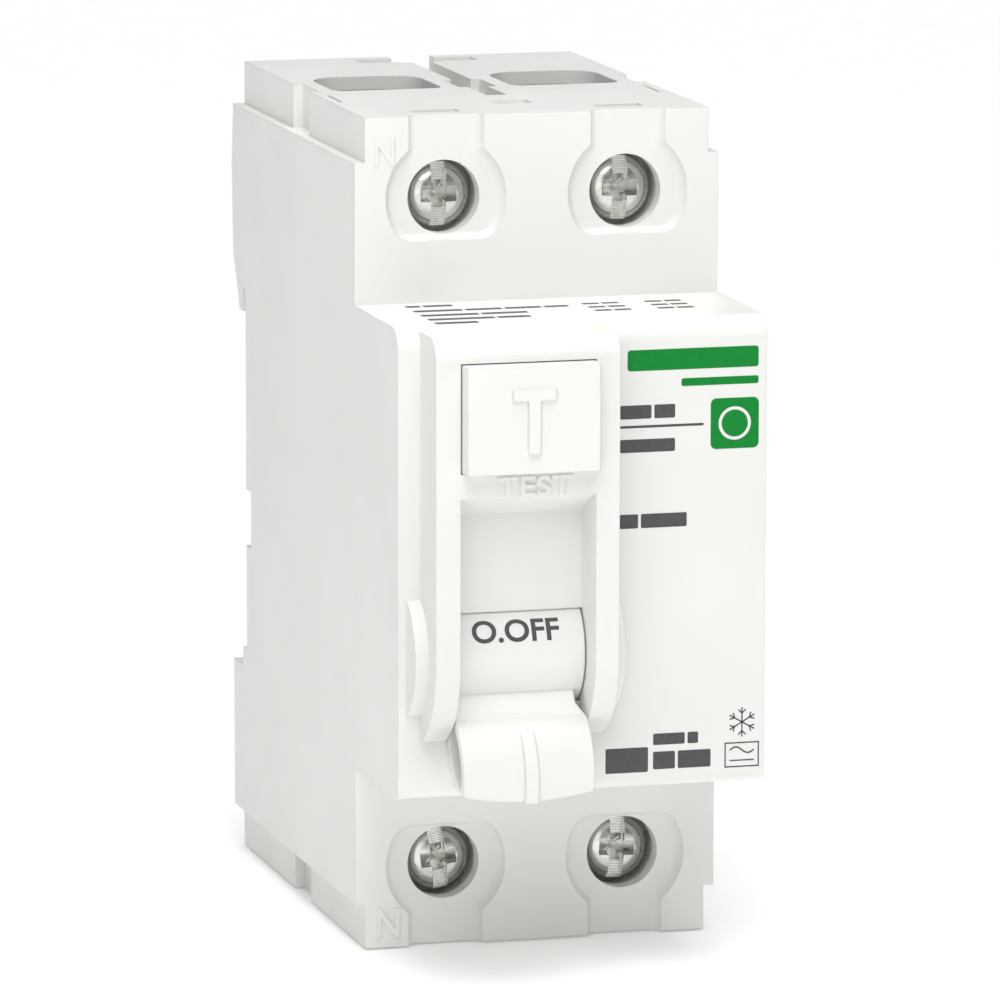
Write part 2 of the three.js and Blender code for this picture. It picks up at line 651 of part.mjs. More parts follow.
// ---- Contacts: everything here turns with the carrier, and is drawn in the closed position ----
function contactGroup() {
  const turning = new THREE.Group();
  turning.position.set(0, CARRIER_Y, CARRIER_Z);
  turning.rotation.x = CARRIER_OPEN_TURN;
  device.add(turning);

  const shaft = rodX(3, -14.2, 14.2, 0, 0, 28);
  const cradles = SIDES.flatMap((side) => {
    const x = side * POLE_X;
    const cheek = (x0) => box(x0, x0 + 1, 0, 11.2, -4.6, 0.6);
    return [cheek(x - 3.9), cheek(x + 2.9), box(x - 3.9, x + 3.9, 7, 11.2, -4.6, -3.6)];
  });
  const armSlots = SIDES.map((side) => box(side * POLE_X - 2.9, side * POLE_X + 2.9, 1.6, 5, -1.2, 1.8));
  // The lever that the link pulls, drawn in the closed position.
  const leverEnd = [-5.98, -6.97];
  const lever = [
    [-1.67, 1.43],
    [-7.27, -5.86],
    [-4.69, -8.08],
    [1.67, -1.43],
  ];
  const linkHole = rodX(LINK_R + RUNNING, -8.6, -5, ...leverEnd, 16);
  const bore = rodX(CARRIER_PIN_R + RUNNING, -15, 15, 0, 0);
  const leverArm = join(prismX(lever, -8.0, -5.6), rodX(2, -8.0, -5.6, ...leverEnd, 20));
  const carrier = cut(join(shaft, ...cradles, leverArm), ...armSlots, linkHole, bore);
  add("contact_carrier", carrier, DARK, turning);

  for (const side of SIDES) {
    const x = side * POLE_X;
    const arm = join(box(x - 2.5, x + 2.5, 2.0, 16.2, -0.9, 0.5), rodZ(2, 0.3, 1.2, x, 14, 16));
    add("moving_contact_" + sideName(side), arm, COPPER, turning);
    const spring = coilSpring(1.3, 2.1, 3, 0.35).translate(x, 9.1, -3.45);
    add("contact_spring_" + sideName(side), spring, SPRING_STEEL, turning);
  }
  add("carrier_pin", rodX(CARRIER_PIN_R, -15.9, 15.9, CARRIER_Y, CARRIER_Z), STEEL);
}

// Wire link from the handle's crank hole to the carrier's lever, with both ends bent inwards.
function driveLink() {
  const crank = [CRANK_Y, CRANK_Z];
  const rear = [LINK_REAR_Y, LINK_REAR_Z];
  const points = [
    [-5.2, ...crank],
    [-8.2, ...crank],
    [-9.6, crank[0] + 0.6, crank[1] + 0.2],
    [-9.6, crank[0] + 2.2, crank[1] + 0.9],
    [-9.6, rear[0] - 2.2, rear[1] - 0.9],
    [-9.6, rear[0] - 0.6, rear[1] - 0.3],
    [-8.4, ...rear],
    [-5.0, ...rear],
  ];
  add("drive_link", bar(points, LINK_R, 26, 8), STEEL);
}

// ---- Trip mechanism ----
function tripLatch() {
  const tube = rodX(2, -4.5, 13, LATCH_Y, LATCH_Z, 20);
  const trigger = box(8, 12, LATCH_Y - 9.5, LATCH_Y, LATCH_Z - 0.7, LATCH_Z + 0.7);
  const finger = prismX(
    [
      [LATCH_Y - 1.6, LATCH_Z],
      [LATCH_Y + 1.2, LATCH_Z - 6.6],
      [LATCH_Y + 2.6, LATCH_Z - 6.6],
      [LATCH_Y + 1.8, LATCH_Z],
    ],
    -4.5,
    -2.5,
  );
  const bore = rodX(LATCH_PIN_R + RUNNING, -6, 14, LATCH_Y, LATCH_Z, 20);
  add("trip_latch", cut(join(tube, trigger, finger), bore), DARK);
  add("latch_pin", rodX(LATCH_PIN_R, -15.9, 15.9, LATCH_Y, LATCH_Z, 20), STEEL);
  const spring = coilSpring(1.6, 4.2, 5, 0.35).rotateY(Math.PI / 2).translate(-9.4, LATCH_Y, LATCH_Z);
  add("latch_spring", spring, SPRING_STEEL);
}

function tripRelay() {
  const plungerX = 10;
  const plungerY = -48;
  const can = box(5, 15.4, -54, -42.6, -14, 1.6);
  const well = rodZ(1.5, -8, 2, plungerX, plungerY, 20);
  add("trip_relay", cut(can, well), STEEL);
  const plunger = join(rodZ(1.2, -7.5, 6.2, plungerX, plungerY, 20), rodZ(2.1, 6, 7.2, plungerX, plungerY, 20));
  add("relay_plunger", plunger, BRASS);
}

function mechanismFrame() {
  const cheek = [
    [-2.6, 0],
    [-2.6, 14],
    [-30, 13.4],
    [-44.6, 13],
    [-45.2, 6.8],
    [-30, 1],
  ];
  const crossBar = box(-16.2, 16.2, -4.4, -2.6, 0, 14);
  const frame = join(prismX(cheek, -16.3, -15.1), prismX(cheek, 15.1, 16.3), crossBar);
  const carrierBore = rodX(CARRIER_PIN_R + RUNNING, -17, 17, CARRIER_Y, CARRIER_Z);
  const latchBore = rodX(LATCH_PIN_R + RUNNING, -17, 17, LATCH_Y, LATCH_Z, 20);
  add("mechanism_frame", cut(frame, carrierBore, latchBore), BACK_GREY);
}

// ---- Fault sensing ----
function toroid() {
  const [low, high] = [TOROID_Z - 5, TOROID_Z + 5];
  const ring = (inner, outer, z0, z1) => ringZ(inner, outer, z0, z1, 0, TOROID_Y);
  const caseCup = cut(ring(4.6, 10.8, low, high), ring(5.4, 10.0, low + 1, high + 1));
  add("toroid_case", caseCup, DARK);
  add("toroid_lid", ring(4.6, 10.8, high + 0.3, high + 1.2), DARK);
  add("toroid_core", ring(6.7, 8.7, low + 2.2, high - 2.2), CORE_GREY);
  const sleeve = cut(ring(5.7, 9.7, low + 1.3, high - 1.2), ring(6.4, 9.0, low + 1.9, high - 1.8));
  const opening = box(-4.5, 4.5, TOROID_Y, TOROID_Y + 14, low, high + 1);
  add("toroid_winding", cut(sleeve, opening), COPPER);
}

// The live conductor of a pole, through the transformer to the lower terminal.
function primaryConductor(side) {
  const points = [
    [side * 7.8, -25.6, -4.5],
    [side * 6.2, -22.4, -4.3],
    [side * 3.4, -17.2, -4.1],
    [side * 2.3, -15.0, -5.2],
    [side * 2.2, TOROID_Y, -7.6],
    [side * 2.2, TOROID_Y, -18.0],
    [side * 3.4, -15.4, -21.0],
    [side * 7.4, -18.2, -24.6],
    [side * POLE_X, -20.6, -25.6],
    [side * POLE_X, -22.2, -25.6],
  ];
  add("primary_conductor_" + sideName(side), bar(points, 1.3, 26, 8), side < 0 ? WIRE_BLUE : WIRE_BROWN);
}

// The braid that lets the contact arm move, from under the arm to the conductor.
function flexibleBraid(side) {
  const points = [
    [side * POLE_X, -26.4, 2.9],
    [side * POLE_X, -27.3, 0.8],
    [side * 8.7, -27.6, -1.6],
    [side * 8.3, -27.2, -3.4],
    [side * 8.1, -26.3, -4.3],
  ];
  add("flexible_braid_" + sideName(side), bar(points, 0.8, 10, 6), COPPER);
}

function testCircuit() {
  add("circuit_board", box(13.2, 14.4, -40, -6, -19, 0), BOARD);
  add("test_resistor", rodZ(1.5, -14, -4, 11.3, -35, 16), RESISTOR_TAN);
  add("filter_capacitor", rodZ(2, -15, -7, 10.8, -29.6, 16), DARK);
}

frontCover();
rearBase();
railClip();
poleDividers();
toggleHandle();
testButton();
for (const side of SIDES) {
  for (const end of SIDES) {
    terminalScrew(side, end);
    cageClamp(side, end);
  }
  fixedContact(side);
  lowerBusbar(side);
  primaryConductor(side);
  flexibleBraid(side);
}
contactGroup();
driveLink();
tripLatch();
tripRelay();
mechanismFrame();
toroid();
testCircuit();

export default device;
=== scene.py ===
"""Two-pole residual current device on a plain pale floor.

Metres, in the row frame: the front faces -Y and +Z is up.
"""

import json
import math

import bmesh
import bpy
from mathutils import Matrix, Vector


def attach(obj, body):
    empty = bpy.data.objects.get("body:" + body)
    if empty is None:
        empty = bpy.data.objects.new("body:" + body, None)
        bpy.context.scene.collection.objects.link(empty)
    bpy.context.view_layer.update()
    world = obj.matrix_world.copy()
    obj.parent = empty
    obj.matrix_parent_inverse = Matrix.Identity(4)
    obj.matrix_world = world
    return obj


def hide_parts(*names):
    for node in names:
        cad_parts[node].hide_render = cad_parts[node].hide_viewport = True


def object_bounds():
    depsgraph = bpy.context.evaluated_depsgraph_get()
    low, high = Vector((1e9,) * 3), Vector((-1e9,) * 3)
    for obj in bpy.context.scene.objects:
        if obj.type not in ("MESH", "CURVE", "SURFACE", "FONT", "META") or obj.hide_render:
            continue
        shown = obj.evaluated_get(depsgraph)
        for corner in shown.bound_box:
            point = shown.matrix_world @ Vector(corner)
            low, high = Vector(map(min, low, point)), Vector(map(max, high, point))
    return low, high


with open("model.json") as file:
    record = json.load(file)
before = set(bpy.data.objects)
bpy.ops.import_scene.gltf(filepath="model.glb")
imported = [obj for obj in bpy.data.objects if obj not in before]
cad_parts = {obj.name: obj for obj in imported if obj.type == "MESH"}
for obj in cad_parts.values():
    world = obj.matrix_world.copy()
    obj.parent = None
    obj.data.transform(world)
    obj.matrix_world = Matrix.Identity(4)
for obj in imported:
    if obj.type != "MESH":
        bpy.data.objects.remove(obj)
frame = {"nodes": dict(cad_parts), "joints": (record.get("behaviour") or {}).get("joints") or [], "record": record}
cad_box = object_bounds()

MM = 0.001
NODES = frame["nodes"]
BODY_OF = {n: body for body, names in frame["record"]["behaviour"]["bodies"].items() for n in names}
JOINTS = {j["name"]: j for j in frame["joints"]}
SIDES = ("left", "right")
ENDS = ("upper", "lower")

GUARD_Y = -65.6 * MM
NOSE_Y = -60.1 * MM
SHOULDER_Y = -44.0 * MM
NOSE_TOP_Z = 22.4 * MM
DRUM_R = 5.6 * MM
HANDLE_Y, HANDLE_Z = JOINTS["handle_turn"]["pos_m"][1:]
HANDLE_TURN = math.radians(JOINTS["handle_turn"]["range_deg"][1])


# ---------------------------------------------------------------- materials
# Noise lies mostly between these two values.
NOISE_LOW = 0.3
NOISE_HIGH = 0.7

RELIEF_DEPTH = 0.02 * MM
INK_DEPTH = 0.01 * MM
MOULDED_EDGE = 0.14 * MM
CONTROL_EDGE = 0.3 * MM
SCREW_EDGE = 0.05 * MM
BEVEL_SAMPLES = 6


def new_material(name):
    """A new material, its node tree, its Principled shader and the object coordinates."""
    material = bpy.data.materials.new(name)
    material.use_nodes = True
    tree = material.node_tree
    shader = next(n for n in tree.nodes if n.type == "BSDF_PRINCIPLED")
    coords = tree.nodes.new("ShaderNodeTexCoord")
    return material, tree, shader, coords.outputs["Object"]


def noise(tree, vector, scale, detail=3.0, stretch=(1, 1, 1)):
    mapping = tree.nodes.new("ShaderNodeMapping")
    mapping.inputs["Scale"].default_value = stretch
    tree.links.new(vector, mapping.inputs["Vector"])
    texture = tree.nodes.new("ShaderNodeTexNoise")
    texture.inputs["Scale"].default_value = scale
    texture.inputs["Detail"].default_value = detail
    tree.links.new(mapping.outputs["Vector"], texture.inputs["Vector"])
    return texture.outputs["Fac"]


def spread(tree, fac, low, high):
    """Noise stretched so that it runs from low to high."""
    node = tree.nodes.new("ShaderNodeMapRange")
    node.inputs["From Min"].default_value = NOISE_LOW
    node.inputs["From Max"].default_value = NOISE_HIGH
    node.inputs["To Min"].default_value = low
    node.inputs["To Max"].default_value = high
    tree.links.new(fac, node.inputs["Value"])
    return node.outputs["Result"]


def tint(tree, shader, fac, colour, vary):
    """A base colour that noise makes darker or lighter by the share vary."""
    ramp = tree.nodes.new("ShaderNodeValToRGB")
    ramp.color_ramp.elements[0].position = NOISE_LOW
    ramp.color_ramp.elements[1].position = NOISE_HIGH
    ramp.color_ramp.elements[0].color = (*shade(colour, 1 - vary), 1)
    ramp.color_ramp.elements[1].color = (*shade(colour, 1 + vary), 1)
    tree.links.new(fac, ramp.inputs["Fac"])
    tree.links.new(ramp.outputs["Color"], shader.inputs["Base Color"])


def bumped(tree, shader, height, distance, strength, edge=0.0):
    """Fine relief, and with edge a small moulded radius on every corner."""
    bump = tree.nodes.new("ShaderNodeBump")
    bump.inputs["Distance"].default_value = distance
    bump.inputs["Strength"].default_value = strength
    if edge:
        rounding = tree.nodes.new("ShaderNodeBevel")
        rounding.samples = BEVEL_SAMPLES
        rounding.inputs["Radius"].default_value = edge
        tree.links.new(rounding.outputs["Normal"], bump.inputs["Normal"])
    tree.links.new(height, bump.inputs["Height"])
    tree.links.new(bump.outputs["Normal"], shader.inputs["Normal"])


def shade(colour, factor):
    return tuple(min(1.0, c * factor) for c in colour)


def plastic(name, colour, roughness=0.42, grain=0.25, vary=0.02, grain_scale=4200, edge=0.0):
    """Moulded plastic: a fine spark-eroded grain, slow changes of tone and of gloss."""
    material, tree, shader, at = new_material(name)
    tint(tree, shader, noise(tree, at, 70, 2), colour, vary)
    gloss = noise(tree, at, 260, 4)
    tree.links.new(spread(tree, gloss, roughness - 0.05, roughness + 0.06), shader.inputs["Roughness"])
    bumped(tree, shader, noise(tree, at, grain_scale, 2), RELIEF_DEPTH, grain, edge)
    shader.inputs["IOR"].default_value = 1.5
    return material


def metal(name, colour, roughness=0.28, stretch=(1, 1, 1), scratch=0.12, vary=0.05, edge=0.0):
    """Bare or plated metal: fine drawn or turned marks, and patches of slightly different gloss."""
    material, tree, shader, at = new_material(name)
    shader.inputs["Metallic"].default_value = 1.0
    tint(tree, shader, noise(tree, at, 180, 4), colour, vary)
    marks = noise(tree, at, 1500, 3, stretch)
    tree.links.new(spread(tree, marks, roughness - 0.07, roughness + 0.1), shader.inputs["Roughness"])
    bumped(tree, shader, marks, RELIEF_DEPTH, scratch, edge)
    return material


def ink(name, colour):
    """Pad printing: nearly even in tone, and dull."""
    material, tree, shader, at = new_material(name)
    fine = noise(tree, at, 1600, 3)
    tint(tree, shader, fine, colour, 0.06)
    tree.links.new(spread(tree, noise(tree, at, 500), 0.42, 0.55), shader.inputs["Roughness"])
    bumped(tree, shader, fine, INK_DEPTH, 0.1)
    shader.inputs["Specular IOR Level"].default_value = 0.2
    return material


CASING = plastic("casing_plastic", (0.80, 0.805, 0.78), edge=MOULDED_EDGE)
CONTROL = plastic("control_plastic", (0.81, 0.815, 0.79), roughness=0.36, grain=0.12, edge=CONTROL_EDGE)
BASE = plastic("base_plastic", (0.78, 0.785, 0.76), roughness=0.5, edge=MOULDED_EDGE)
DARK = plastic("dark_plastic", (0.045, 0.046, 0.05), roughness=0.5, vary=0.08)
BOARD = plastic("board_laminate", (0.03, 0.13, 0.06), roughness=0.35, grain=0.5, vary=0.12, grain_scale=2500)
TAN = plastic("resistor_lacquer", (0.45, 0.32, 0.17), roughness=0.4, vary=0.06)
SHEATH_BLUE = plastic("sheath_blue", (0.02, 0.10, 0.34), roughness=0.45, vary=0.05)
SHEATH_BROWN = plastic("sheath_brown", (0.13, 0.05, 0.025), roughness=0.45, vary=0.05)
NICKEL = metal("nickel_plate", (0.68, 0.675, 0.65), roughness=0.2, scratch=0.03, vary=0.02, edge=SCREW_EDGE)
STEEL = metal("zinc_plated_steel", (0.56, 0.57, 0.58), roughness=0.34, stretch=(1, 0.15, 1))
SPRING = metal("spring_wire", (0.5, 0.51, 0.53), roughness=0.3)
COPPER = metal("bare_copper", (0.72, 0.36, 0.2), roughness=0.32, stretch=(1, 1, 0.15))
BRASS = metal("bare_brass", (0.7, 0.52, 0.2), roughness=0.3)
CORE = metal("wound_core", (0.2, 0.2, 0.21), roughness=0.5, stretch=(1, 1, 6))
INK_GREY = ink("legend_grey", (0.085, 0.085, 0.09))
INK_GREEN = ink("legend_green", (0.002, 0.225, 0.03))
INK_WHITE = ink("legend_white", (0.82, 0.83, 0.80))

NODE_MATERIALS = {
    "casing_white": CASING,
    "control_white": CONTROL,
    "base_grey": BASE,
    "nickel": NICKEL,
    "steel": STEEL,
    "spring_steel": SPRING,
    "copper": COPPER,
    "brass": BRASS,
    "dark_plastic": DARK,
    "board_green": BOARD,
    "core_grey": CORE,
    "wire_blue": SHEATH_BLUE,
    "wire_brown": SHEATH_BROWN,
    "resistor_tan": TAN,
}
SLOT_OF = {s["node"]: s["material_slot"] for s in frame["record"]["subparts"]}


def paint(obj, material):
    obj.data.materials.clear()
    obj.data.materials.append(material)


# ---------------------------------------------------------------- pieces
WELD = 0.002 * MM
FLAT_ANGLE = 0.4
SMOOTH_ANGLE = 24


def placed(name, mesh, body, material):
    obj = bpy.data.objects.new(name, mesh)
    bpy.context.scene.collection.objects.link(obj)
    mesh.materials.clear()
    mesh.materials.append(material)
    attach(obj, body)
    return obj


def shade_by_angle(bm, angle):
    """Shades every face smooth, except across edges sharper than angle degrees."""
    limit = math.radians(angle)
    for edge in bm.edges:
        edge.smooth = len(edge.link_faces) == 2 and edge.calc_face_angle(0) < limit
    for face in bm.faces:
        face.smooth = True


def refined(node):
    """A finer piece in a CAD node's place, with single flat faces and curved ones shaded smooth."""
    mesh = NODES[node].data.copy()
    mesh.name = node + "_shell"
    bm = bmesh.new()
    bm.from_mesh(mesh)
    bmesh.ops.remove_doubles(bm, verts=bm.verts, dist=WELD)
    bmesh.ops.dissolve_limit(bm, angle_limit=math.radians(FLAT_ANGLE), verts=bm.verts, edges=bm.edges)
    shade_by_angle(bm, SMOOTH_ANGLE)
    bm.to_mesh(mesh)
    bm.free()
    slot = SLOT_OF[node]
    obj = placed(node + "_fine", mesh, BODY_OF[node], NODE_MATERIALS[slot])
    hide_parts(node)
    shading = obj.modifiers.new("shading", "WEIGHTED_NORMAL")
    shading.keep_sharp = True
    return obj


for visible in ("front_cover", "rear_base", "rail_clip", "toggle_handle", "test_button"):
    refined(visible)

for name, node in NODES.items():
    if not node.hide_render:
        paint(node, NODE_MATERIALS[SLOT_OF[name]])


# ---------------------------------------------------------------- screws
def lathe(profile, steps):
    """A solid of revolution about the Y axis: its (radius, y) points start and end on the axis."""
    bm = bmesh.new()
    rings = []
    for radius, y in profile:
        if radius == 0:
            rings.append([bm.verts.new((0, y, 0))])
            continue
        turns = [2 * math.pi * i / steps for i in range(steps)]
        rings.append([bm.verts.new((radius * math.cos(t), y, radius * math.sin(t))) for t in turns])
    for a, b in zip(rings, rings[1:]):
        for i in range(steps):
            j = (i + 1) % steps
            corners = [a[i % len(a)], a[j % len(a)], b[j % len(b)], b[i % len(b)]]
            bm.faces.new(list(dict.fromkeys(corners)))
    bmesh.ops.recalc_face_normals(bm, faces=bm.faces)
    return bm


def block(bm, low, high):
    """A box in an open bmesh, and its vertices."""
    made = bmesh.ops.create_cube(bm, size=1)["verts"]
    size = Vector(high) - Vector(low)
    bmesh.ops.scale(bm, vec=size, verts=made)
    bmesh.ops.translate(bm, vec=(Vector(high) + Vector(low)) / 2, verts=made)
    return made


def mesh_of(bm, name):
    mesh = bpy.data.meshes.new(name)
    bm.to_mesh(mesh)
    bm.free()
    return mesh


def carved(mesh, cutters):
    """mesh with each cutter mesh taken out of it."""
    scene = bpy.context.scene
    body = bpy.data.objects.new("carve_body", mesh)
    scene.collection.objects.link(body)
    tools = []
    for cutter in cutters:
        tool = bpy.data.objects.new("carve_tool", cutter)
        scene.collection.objects.link(tool)
        tools.append(tool)
        cut = body.modifiers.new("cut", "BOOLEAN")
        cut.operation = "DIFFERENCE"
        cut.solver = "EXACT"
        cut.object = tool
    bpy.context.view_layer.update()
    depsgraph = bpy.context.evaluated_depsgraph_get()
    result = bpy.data.meshes.new_from_object(body.evaluated_get(depsgraph))
    for obj in [body, *tools]:
        bpy.data.objects.remove(obj)
    return result


# The screw is drawn in millimetres, and scaled to metres once it is cut.
HEAD_FRONT = -41.3
HEAD_BACK = -38
HEAD_R = 3.3
SHANK_R = 2.4
TIP_Y = -24.7
TIP_R = 1.7
SLOT_HALF = 0.73
SLOT_FLOOR = -40.35
RECESS_FLOOR = -39.6
RECESS_TIP = -38.8
CUT_CLEAR = 1  # how far a cutter starts in front of the head
TOOTH_PITCH = 0.16
TOOTH_HALF = 0.06
TEETH_EACH_END = 11
FIRST_TOOTH_Z = 1.45


def plus_ring(bm, y, reach, half):
    """The twelve corners of a cross square to the Y axis, with arms twice half wide."""
    quarter = [(half, -half), (reach, -half), (reach, half)]
    ring = []
    for turn in range(4):
        for x, z in quarter:
            for _ in range(turn):
                x, z = -z, x
            ring.append(bm.verts.new((x, y, z)))
    return ring


def cross_cutter():
    """A cross recess that narrows with depth and ends in a point."""
    bm = bmesh.new()
    mouth = plus_ring(bm, HEAD_FRONT - CUT_CLEAR, 2.35, 0.76)
    floor = plus_ring(bm, RECESS_FLOOR, 0.95, 0.62)
    apex = bm.verts.new((0, RECESS_TIP, 0))
    bm.faces.new(mouth)
    for i in range(len(mouth)):
        j = (i + 1) % len(mouth)
        bm.faces.new((mouth[i], mouth[j], floor[j], floor[i]))
        bm.faces.new((floor[i], floor[j], apex))
    bmesh.ops.recalc_face_normals(bm, faces=bm.faces)
    return mesh_of(bm, "cross")


def screw_mesh():
    """A terminal screw's head and shank, with a slot right across and a deep cross recess."""
    profile = [
        (0, HEAD_FRONT),
        (1.0, -41.28),
        (1.8, -41.19),
        (2.4, -41.02),
        (2.8, -40.78),
        (3.07, -40.45),
        (3.23, -40.05),
        (HEAD_R, -39.6),
        (HEAD_R, HEAD_BACK),
        (SHANK_R, HEAD_BACK),
        (SHANK_R, -25.4),
        (TIP_R, TIP_Y),
        (0, TIP_Y),
    ]
    body = mesh_of(lathe(profile, 72), "screw")
    slot = bmesh.new()
    block(slot, (-SLOT_HALF, HEAD_FRONT - CUT_CLEAR, -5), (SLOT_HALF, SLOT_FLOOR, 5))
    cut = carved(body, [mesh_of(slot, "slot"), cross_cutter()])
    cut.transform(Matrix.Scale(MM, 4))
    bm = bmesh.new()
    bm.from_mesh(cut)
    bmesh.ops.remove_doubles(bm, verts=bm.verts, dist=WELD)
    shade_by_angle(bm, SMOOTH_ANGLE)
    bm.to_mesh(cut)
    bm.free()
    return cut


def serration_mesh():
    """The fine teeth that the cutter left across the floor of the slot."""
    bm = bmesh.new()
    half = SLOT_HALF * 0.97
    for end in (-1, 1):
        for i in range(TEETH_EACH_END):
            z = end * (FIRST_TOOTH_Z + i * TOOTH_PITCH)
            low = (-half, SLOT_FLOOR - 0.06, z - TOOTH_HALF)
            high = (half, SLOT_FLOOR + 0.05, z + TOOTH_HALF)
            made = block(bm, low, high)
            for v in made:
                if v.co.y < SLOT_FLOOR:
                    v.co.z = z + (v.co.z - z) * 0.25
    bmesh.ops.scale(bm, vec=(MM, MM, MM), verts=bm.verts)
    return mesh_of(bm, "serrations")


SCREW = screw_mesh()
TEETH = serration_mesh()
SCREW_TURNS = {"upper_left": 0.0, "upper_right": 0.02, "lower_left": -0.12, "lower_right": 0.05}
for end in ENDS:
    for side in SIDES:
        where = f"{end}_{side}"
        x, _, z = JOINTS["screw_turn_" + where]["pos_m"]
        for part, mesh in (("head", SCREW), ("teeth", TEETH)):
            obj = bpy.data.objects.new(f"screw_{part}_{where}", mesh.copy())
            bpy.context.scene.collection.objects.link(obj)
            obj.location = (x, 0, z)
            obj.rotation_euler = (0, SCREW_TURNS[where], 0)
            paint(obj, NICKEL)
            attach(obj, "screw_" + where)
            if part == "head":
                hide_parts("terminal_screw_" + where)


# ---------------------------------------------------------------- legends
CAPITAL_SHARE = 0.7  # a capital's height as a share of the text size
PRINT_LIFT = 0.012  # in millimetres, as the printed drawings are
LETTER_DEPTH = 0.24 * MM
LETTER_FORWARD = 0.02 * MM  # how far the middle of the raised letters lies in front of their face


def text_mesh(words, height, depth, bevel=0.0, weight=0.0):
    """The words as a flat or raised mesh, centred on the origin in X and Y, its capitals height tall."""
    curve = bpy.data.curves.new("words", "FONT")
    curve.body = words
    curve.align_x = "CENTER"
    curve.extrude = depth / 2
    curve.bevel_depth = bevel
    curve.bevel_resolution = 1
    curve.resolution_u = 6
    curve.offset = weight
    curve.size = height / CAPITAL_SHARE
    holder = bpy.data.objects.new("words", curve)
    bpy.context.scene.collection.objects.link(holder)
    depsgraph = bpy.context.evaluated_depsgraph_get()
    mesh = bpy.data.meshes.new_from_object(holder.evaluated_get(depsgraph))
    bpy.data.objects.remove(holder)
    xs = [v.co.x for v in mesh.vertices]
    ys = [v.co.y for v in mesh.vertices]
    mesh.transform(Matrix.Translation((-(min(xs) + max(xs)) / 2, -(min(ys) + max(ys)) / 2, 0)))
    return mesh


def fit(mesh, width, height):
    """Stretches a flat mesh to a width and height."""
    xs = [v.co.x for v in mesh.vertices]
    ys = [v.co.y for v in mesh.vertices]
    mesh.transform(Matrix.Diagonal((width / (max(xs) - min(xs)), height / (max(ys) - min(ys)), 1, 1)))
    return mesh


# Turns a drawing in the XY plane to face -Y.
FACING_FRONT = Matrix.Rotation(math.pi / 2, 4, "X")


def raised(name, words, x_range, z_range, face_y):
    """Raised letters on a face that looks to the front, filling the range given in millimetres."""
    width = (x_range[1] - x_range[0]) * MM
    height = (z_range[1] - z_range[0]) * MM
    mesh = fit(text_mesh(words, height, LETTER_DEPTH, LETTER_DEPTH * 0.35), width, height)
    mesh.transform(FACING_FRONT)
    for polygon in mesh.polygons:
        polygon.use_smooth = False
    obj = placed(name, mesh, "housing", CASING)
    obj.location = (sum(x_range) / 2 * MM, face_y - LETTER_FORWARD, sum(z_range) / 2 * MM)


raised("test_legend", "TEST", (-9.9, -2.6), (7.1, 9.1), GUARD_Y)
raised("neutral_mark_upper", "N", (-16.1, -14.1), (35.65, 38.4), SHOULDER_Y)
raised("neutral_mark_lower", "N", (-15.9, -13.6), (-39.4, -36.4), SHOULDER_Y)


LEGEND_HEIGHT = 2.25 * MM
LEGEND_WEIGHT = 0.07 * MM
STRIP_HEIGHT = 0.2 * MM  # the words are cut into strips so that they bend


def drum_legend(name, words, turn, width, height, x_middle):
    """Printed words wrapped round the drum: turn 0 puts their middle at the very front."""
    bm = bmesh.new()
    bm.from_mesh(fit(text_mesh(words, height, 0, weight=LEGEND_WEIGHT), width, height))
    for i in range(-8, 9):
        cut = bm.verts[:] + bm.edges[:] + bm.faces[:]
        bmesh.ops.bisect_plane(bm, geom=cut, plane_co=(0, i * STRIP_HEIGHT, 0), plane_no=(0, 1, 0))
    radius = DRUM_R + PRINT_LIFT * MM
    for v in bm.verts:
        angle = turn + v.co.y / radius
        v.co = (
            x_middle + v.co.x,
            HANDLE_Y - radius * math.cos(angle),
            HANDLE_Z + radius * math.sin(angle),
        )
    return placed(name, mesh_of(bm, name), "handle", INK_GREY)


DRUM_TEXT_X = -7.1 * MM
OFF_TEXT_Z = -6.24 * MM
ON_TEXT_DROP = 0.12  # radians that the ON legend sits lower than the OFF legend's place
OFF_TURN = math.asin((OFF_TEXT_Z - HANDLE_Z) / DRUM_R)
drum_legend("off_legend", "O.OFF", OFF_TURN, 8.5 * MM, LEGEND_HEIGHT, DRUM_TEXT_X)
drum_legend("on_legend", "I.ON", OFF_TURN - HANDLE_TURN - ON_TEXT_DROP, 6.6 * MM, LEGEND_HEIGHT, DRUM_TEXT_X)


def outline_mesh(loops, name="outline"):
    """Flat faces in the XY plane, one for each closed loop of (x, y) points in millimetres."""
    bm = bmesh.new()
    for loop in loops:
        bm.faces.new([bm.verts.new((x * MM, y * MM, 0)) for x, y in loop])
    bmesh.ops.recalc_face_normals(bm, faces=bm.faces)
    return mesh_of(bm, name)


def rounded(x0, x1, y0, y1, radius, steps=5):
    """A rectangle with round corners."""
    points = []
    for cx, cy, start in (
        (x1 - radius, y1 - radius, 0),
        (x0 + radius, y1 - radius, 1),
        (x0 + radius, y0 + radius, 2),
        (x1 - radius, y0 + radius, 3),
    ):
        for i in range(steps + 1):
            turn = math.pi / 2 * (start + i / steps)
            points.append((cx + radius * math.cos(turn), cy + radius * math.sin(turn)))
    return points


def stroke(x0, y0, x1, y1, width):
    """A straight line of some width."""
    along = Vector((x1 - x0, y1 - y0)).normalized()
    across = Vector((-along.y, along.x)) * width / 2
    a, b = Vector((x0, y0)), Vector((x1, y1))
    return [tuple(a + across), tuple(a - across), tuple(b - across), tuple(b + across)]


def ribbon(points, width):
    """A line of some width through several points, as one loop for each stretch of it."""
    loops = []
    for (x0, y0), (x1, y1) in zip(points, points[1:]):
        loops.append(stroke(x0, y0, x1, y1, width))
    return loops


